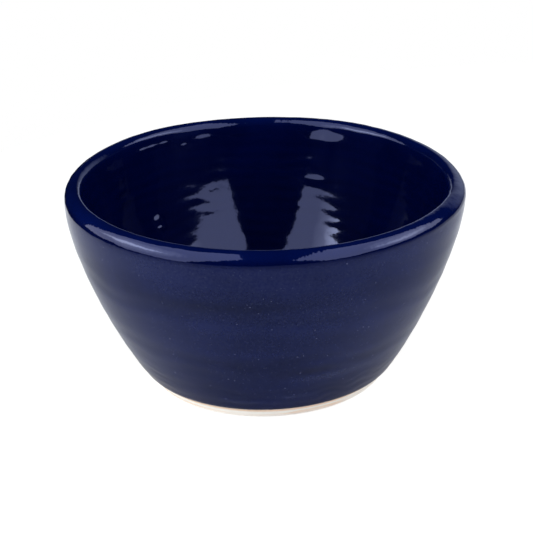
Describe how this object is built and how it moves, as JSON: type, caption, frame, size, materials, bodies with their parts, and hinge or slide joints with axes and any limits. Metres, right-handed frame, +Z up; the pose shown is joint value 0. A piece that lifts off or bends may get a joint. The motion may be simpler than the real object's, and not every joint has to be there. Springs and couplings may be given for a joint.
{
  "type": "dip bowl",
  "caption": "Round bowl with a gently flared wall, a thick rounded rim, glossy dark blue glaze inside and out and a bare clay foot, for serving dips and sauces.",
  "frame": {"origin": "middle of the foot, on the surface that the bowl stands on", "axes": "+Z up along the bowl's axis towards the rim; X and Y lie in the table, and the bowl is round, so their directions are free"},
  "size_m": [0.112, 0.112, 0.058],
  "materials": {
    "stoneware": "bare fired clay, matt",
    "cobalt_glaze": "gloss"
  },
  "bodies": {
    "root": {"clay_body": "stoneware", "inner_glaze": "cobalt_glaze", "outer_glaze": "cobalt_glaze"}
  },
  "joints": []
}
